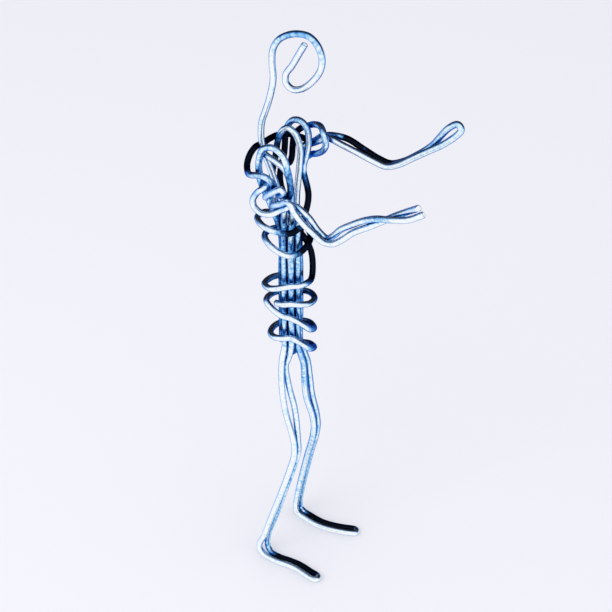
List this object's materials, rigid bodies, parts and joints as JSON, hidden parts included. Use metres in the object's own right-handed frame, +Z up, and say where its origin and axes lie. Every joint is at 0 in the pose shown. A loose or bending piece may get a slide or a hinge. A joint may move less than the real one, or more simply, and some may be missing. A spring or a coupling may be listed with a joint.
{
  "type": "wire figure",
  "caption": "Free-standing human figure bent by hand from soft round steel wire, with bound torso, curled head, outstretched arms and folded feet, bendable at neck, arms and legs.",
  "frame": {"origin": "on the floor, under the middle of the figure's box", "axes": "+X the way the figure faces, +Y its left, +Z up"},
  "size_m": [0.0574, 0.026, 0.1647],
  "materials": {
    "bright_wire": "bluish drawn steel wire, glossy, finely pitted",
    "dark_wire": "bluish drawn steel wire with darker scale, glossy, finely pitted"
  },
  "bodies": {
    "torso": {"right_outer_strand": "bright_wire", "body_inner_wire": "bright_wire", "left_outer_strand": "bright_wire", "spine_wire": "bright_wire", "collar_wire": "dark_wire", "left_arm_tail": "bright_wire", "right_arm_hook": "bright_wire", "chest_binding": "dark_wire", "waist_binding": "dark_wire"},
    "head": {"head_wire": "bright_wire"},
    "right_upper_arm": {"right_upper_arm_outer": "bright_wire", "right_upper_arm_inner": "bright_wire"},
    "right_forearm": {"right_forearm_outer": "bright_wire", "right_forearm_inner": "bright_wire"},
    "left_upper_arm": {"left_upper_arm_outer": "bright_wire", "left_upper_arm_inner": "bright_wire"},
    "left_forearm": {"left_forearm": "bright_wire"},
    "right_thigh": {"right_thigh_outer": "bright_wire", "right_thigh_inner": "bright_wire"},
    "right_shin": {"right_shin_outer": "bright_wire", "right_shin_inner": "bright_wire"},
    "right_foot": {"right_foot": "bright_wire"},
    "left_thigh": {"left_thigh_outer": "bright_wire", "left_thigh_inner": "bright_wire"},
    "left_shin": {"left_shin_outer": "bright_wire", "left_shin_inner": "bright_wire"},
    "left_foot": {"left_foot": "bright_wire"}
  },
  "joints": [
    {"name": "neck_bend", "type": "hinge", "parent": "torso", "child": "head", "pos_m": [-0.02574, -0.00111, 0.1315], "axis": [0, 1, 0], "range_deg": [-35, 40]},
    {"name": "right_shoulder_bend", "type": "hinge", "parent": "torso", "child": "right_upper_arm", "pos_m": [-0.00934, -0.00881, 0.1195], "axis": [0, 1, 0], "range_deg": [-60, 45]},
    {"name": "right_elbow_bend", "type": "hinge", "parent": "right_upper_arm", "child": "right_forearm", "pos_m": [-0.00034, -0.00881, 0.1138], "axis": [0, 1, 0], "range_deg": [-40, 50]},
    {"name": "left_shoulder_bend", "type": "hinge", "parent": "torso", "child": "left_upper_arm", "pos_m": [-0.01044, 0.00779, 0.1322], "axis": [0, 1, 0], "range_deg": [-60, 60]},
    {"name": "left_elbow_bend", "type": "hinge", "parent": "left_upper_arm", "child": "left_forearm", "pos_m": [0.00706, 0.00779, 0.1301], "axis": [0, 1, 0], "range_deg": [-40, 50]},
    {"name": "right_hip_bend", "type": "hinge", "parent": "torso", "child": "right_thigh", "pos_m": [-0.01844, -0.00221, 0.062], "axis": [0, 1, 0], "range_deg": [-70, 30]},
    {"name": "right_knee_bend", "type": "hinge", "parent": "right_thigh", "child": "right_shin", "pos_m": [-0.01184, -0.00551, 0.0374], "axis": [0, 1, 0], "range_deg": [-28, 60]},
    {"name": "right_ankle_bend", "type": "hinge", "parent": "right_shin", "child": "right_foot", "pos_m": [-0.01914, -0.01011, 0.007], "axis": [0, 1, 0], "range_deg": [-25, 30]},
    {"name": "left_hip_bend", "type": "hinge", "parent": "torso", "child": "left_thigh", "pos_m": [-0.01504, 0.00329, 0.062], "axis": [0, 1, 0], "range_deg": [-70, 30]},
    {"name": "left_knee_bend", "type": "hinge", "parent": "left_thigh", "child": "left_shin", "pos_m": [-0.01324, 0.00569, 0.0392], "axis": [0, 1, 0], "range_deg": [-28, 60]},
    {"name": "left_ankle_bend", "type": "hinge", "parent": "left_shin", "child": "left_foot", "pos_m": [-0.02134, 0.00859, 0.007], "axis": [0, 1, 0], "range_deg": [-25, 30]}
  ]
}
